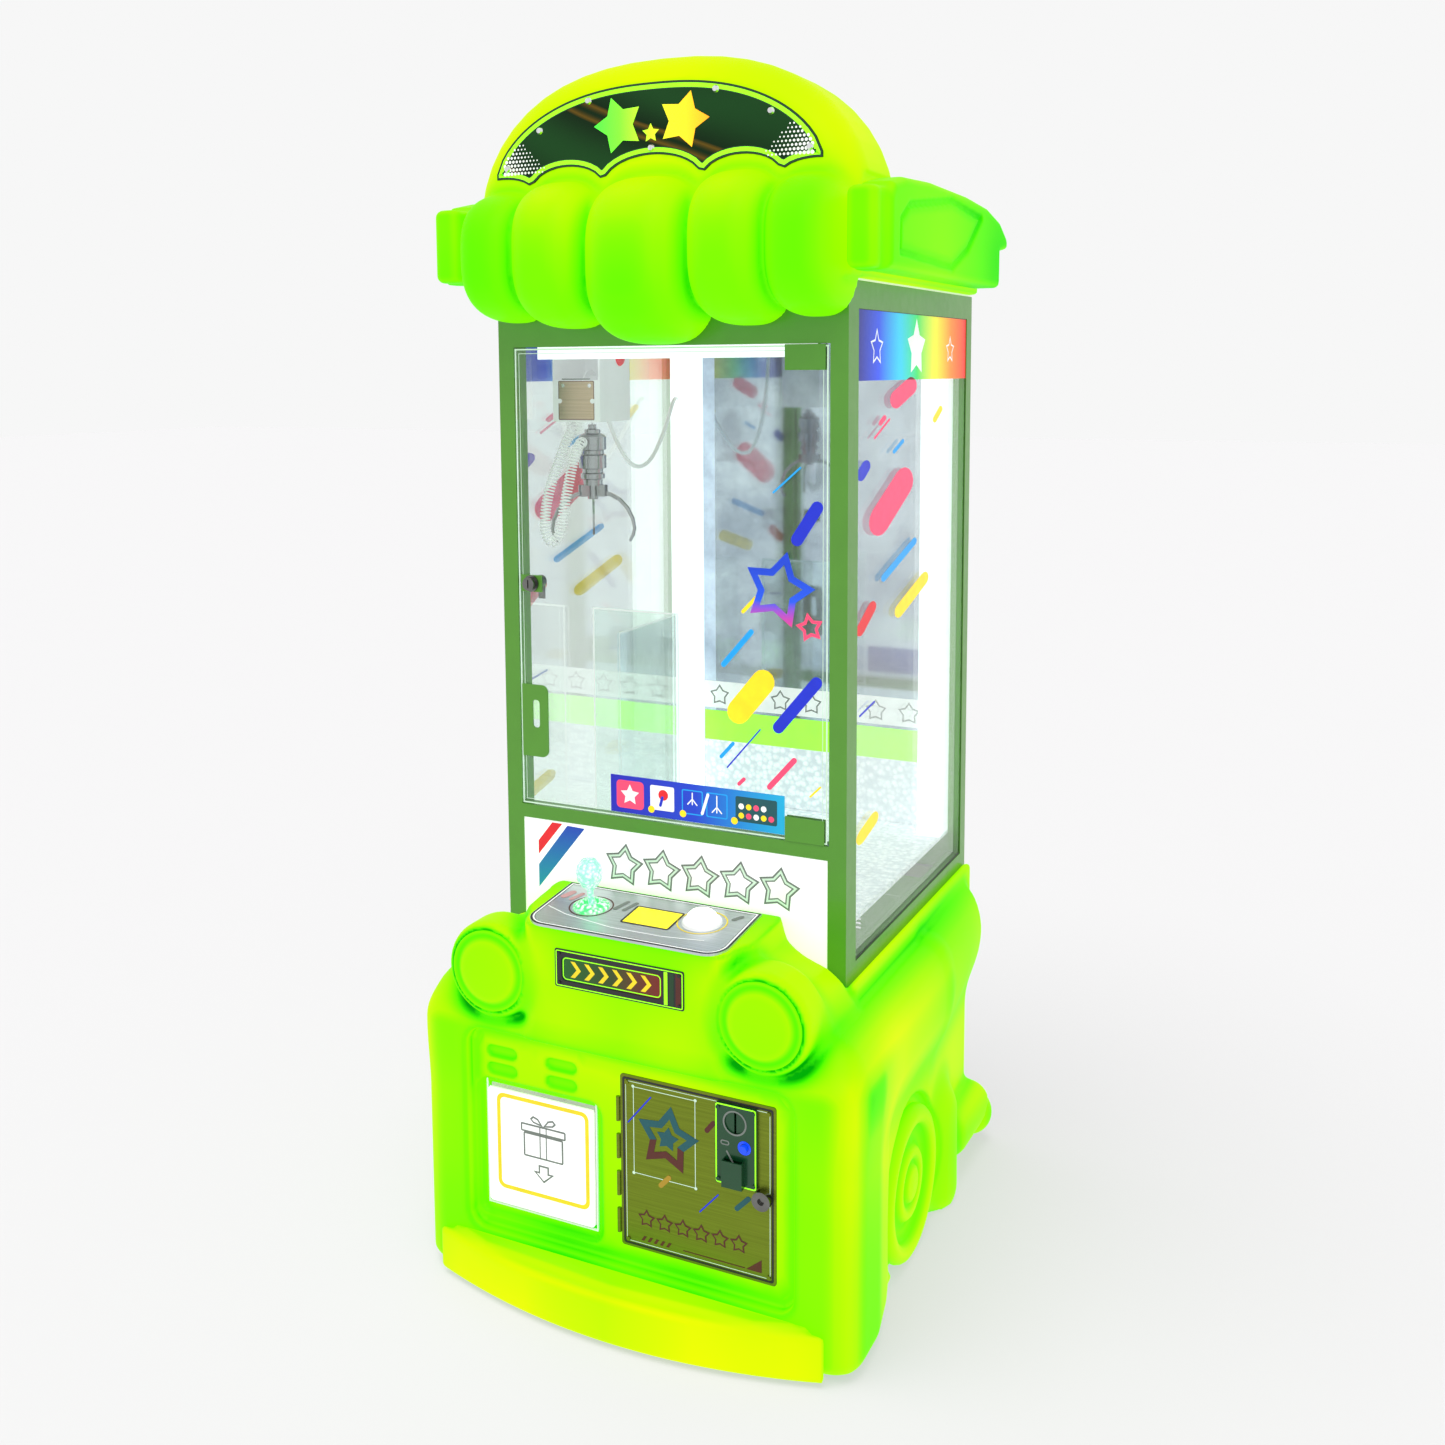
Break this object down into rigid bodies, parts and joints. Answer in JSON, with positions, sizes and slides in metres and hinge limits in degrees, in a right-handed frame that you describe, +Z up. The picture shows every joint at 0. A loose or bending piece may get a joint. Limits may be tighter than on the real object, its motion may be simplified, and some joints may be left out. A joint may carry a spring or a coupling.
{
  "type": "claw crane machine",
  "caption": "Coin-operated claw crane with a glass cabinet, a glowing car-shaped base with control deck and doors, a puffy domed canopy, and a travelling grab claw.",
  "frame": {"origin": "on the floor, at the centre of the machine's footprint box", "axes": "+Z up, the front faces -Y, +X is to the machine's left as seen by the machine, to the right of a player facing it"},
  "size_m": [0.786, 0.9, 1.9891],
  "materials": {
    "lime_moulding": "satin, lit from inside",
    "green_frame": "gloss powder coat",
    "sub_frame_steel": "satin",
    "foot_rubber": "matt",
    "clear_glass": "polished",
    "mirror_panel": "polished",
    "white_light": "lit diffuser",
    "white_board": "pebbled",
    "header_acrylic": "gloss print",
    "printed_panel": "gloss print",
    "bright_steel": "polished",
    "bridge_steel": "brushed",
    "trolley_plate": "brushed",
    "display_lit": "lit",
    "button_white": "lit",
    "joystick_clear": "clear, lit green",
    "coin_door_print": "gloss print",
    "coin_mech": "gloss",
    "lever_blue": "gloss",
    "black_plastic": "matt",
    "white_plastic": "satin"
  },
  "bodies": {
    "cabinet": {"base_shell": "lime_moulding", "front_bumper": "lime_moulding", "rear_bumper": "lime_moulding", "wheel_covers": "lime_moulding", "headlights": "lime_moulding", "base_frame": "sub_frame_steel", "levelling_feet": "foot_rubber", "front_frame": "green_frame", "side_frame_left": "green_frame", "side_frame_right": "green_frame", "rear_panel": "green_frame", "side_glass_left": "clear_glass", "side_glass_right": "clear_glass", "rear_mirror": "mirror_panel", "light_posts": "white_light", "led_bar": "white_light", "playfield": "white_board", "prize_chute": "sub_frame_steel", "chute_guard": "clear_glass", "roof_plate": "sub_frame_steel", "canopy_shell": "lime_moulding", "thumb_left": "lime_moulding", "thumb_right": "lime_moulding", "header_panel": "header_acrylic", "header_screws": "bright_steel", "crane_rails": "bright_steel", "lower_panel": "white_light", "control_panel": "printed_panel", "display": "display_lit", "button_bezel": "button_white", "nameplate": "header_acrylic", "joystick_base": "joystick_clear", "cash_box": "sub_frame_steel", "power_supply": "bridge_steel", "rear_skirt": "green_frame", "power_inlet": "black_plastic", "festoon_cable": "white_plastic"},
    "front_door": {"door_glass": "clear_glass", "door_clamps": "green_frame", "door_plates": "green_frame"},
    "door_lock": {"door_lock_plug": "bright_steel"},
    "prize_door": {"prize_flap": "white_board"},
    "coin_door_leaf": {"coin_door": "coin_door_print", "coin_acceptor": "coin_mech"},
    "coin_lock": {"coin_lock_plug": "bright_steel"},
    "return_lever": {"coin_return_lever": "lever_blue"},
    "stick_gimbal": {"joystick_gimbal": "bright_steel"},
    "stick": {"joystick_stick": "joystick_clear"},
    "button": {"button_cap": "button_white"},
    "bridge_carriage": {"bridge": "bridge_steel"},
    "trolley_carriage": {"trolley": "trolley_plate", "hoist_string": "white_plastic", "coil_cord": "white_plastic"},
    "drum": {"hoist_drum": "white_plastic"},
    "claw": {"claw_body": "bright_steel"},
    "prong_a": {"claw_prong_1": "bright_steel"},
    "prong_b": {"claw_prong_2": "bright_steel"},
    "prong_c": {"claw_prong_3": "bright_steel"},
    "service_door": {"rear_door": "green_frame"},
    "service_lock": {"rear_lock_plug": "bright_steel"}
  },
  "joints": [
    {"name": "front_door_hinge", "type": "hinge", "parent": "cabinet", "child": "front_door", "pos_m": [0.262, -0.212, 1.158], "axis": [0, 0, 1], "range_deg": [0, 100]},
    {"name": "door_lock_turn", "type": "hinge", "parent": "front_door", "child": "door_lock", "pos_m": [-0.252, -0.215, 1.153], "axis": [0, 1, 0], "range_deg": [0, 90]},
    {"name": "prize_flap_hinge", "type": "hinge", "parent": "cabinet", "child": "prize_door", "pos_m": [-0.1635, -0.358, 0.3286], "axis": [1, 0, 0], "range_deg": [0, 72]},
    {"name": "coin_door_hinge", "type": "hinge", "parent": "cabinet", "child": "coin_door_leaf", "pos_m": [-0.015, -0.3656, 0.265], "axis": [0, 0, -1], "range_deg": [0, 105]},
    {"name": "coin_lock_turn", "type": "hinge", "parent": "coin_door_leaf", "child": "coin_lock", "pos_m": [0.235, -0.365, 0.26], "axis": [0, -1, 0], "range_deg": [0, 90]},
    {"name": "coin_return_push", "type": "slide", "parent": "coin_door_leaf", "child": "return_lever", "axis": [0, 1, 0], "range_m": [0, 0.004], "stiffness_N_per_m": 300},
    {"name": "joystick_side", "type": "hinge", "parent": "cabinet", "child": "stick_gimbal", "pos_m": [-0.096, -0.29955, 0.61982], "axis": [1, 0, 0], "range_deg": [-10, 10], "stiffness_Nm_per_rad": 0.8},
    {"name": "joystick_fore", "type": "hinge", "parent": "stick_gimbal", "child": "stick", "pos_m": [-0.096, -0.29955, 0.61982], "axis": [0, 0.9962, 0.0872], "range_deg": [-10, 10], "stiffness_Nm_per_rad": 0.8},
    {"name": "button_push", "type": "slide", "parent": "cabinet", "child": "button", "axis": [0, 0.0872, -0.9962], "range_m": [0, 0.004], "stiffness_N_per_m": 500},
    {"name": "bridge_travel", "type": "slide", "parent": "cabinet", "child": "bridge_carriage", "axis": [0, 1, 0], "range_m": [0, 0.36], "deforming": ["festoon_cable"]},
    {"name": "trolley_travel", "type": "slide", "parent": "bridge_carriage", "child": "trolley_carriage", "axis": [1, 0, 0], "range_m": [0, 0.415]},
    {"name": "claw_hoist", "type": "slide", "parent": "trolley_carriage", "child": "claw", "axis": [0, 0, -1], "range_m": [0, 0.58], "deforming": ["hoist_string", "coil_cord"]},
    {"name": "drum_turn", "type": "hinge", "parent": "trolley_carriage", "child": "drum", "pos_m": [-0.208, -0.067, 1.482], "axis": [-1, 0, 0], "range_deg": [0, 2000]},
    {"name": "prong_1_close", "type": "hinge", "parent": "claw", "child": "prong_a", "pos_m": [-0.189, -0.085, 1.298], "axis": [0, 1, 0], "range_deg": [0, 38]},
    {"name": "prong_2_close", "type": "hinge", "parent": "claw", "child": "prong_b", "pos_m": [-0.2175, -0.06855, 1.298], "axis": [-0.866, -0.5, 0], "range_deg": [0, 38]},
    {"name": "prong_3_close", "type": "hinge", "parent": "claw", "child": "prong_c", "pos_m": [-0.2175, -0.10145, 1.298], "axis": [0.866, -0.5, 0], "range_deg": [0, 38]},
    {"name": "service_door_hinge", "type": "hinge", "parent": "cabinet", "child": "service_door", "pos_m": [-0.181, 0.4398, 0.3], "axis": [0, 0, 1], "range_deg": [0, 110]},
    {"name": "service_lock_turn", "type": "hinge", "parent": "service_door", "child": "service_lock", "pos_m": [0.16, 0.435, 0.3], "axis": [0, 1, 0], "range_deg": [0, 90]}
  ],
  "couplings": [
    {"joint": "drum_turn", "follows": "claw_hoist", "rad_per_m": 55.866},
    {"joint": "prong_2_close", "follows": "prong_1_close", "ratio": 1},
    {"joint": "prong_3_close", "follows": "prong_1_close", "ratio": 1}
  ]
}
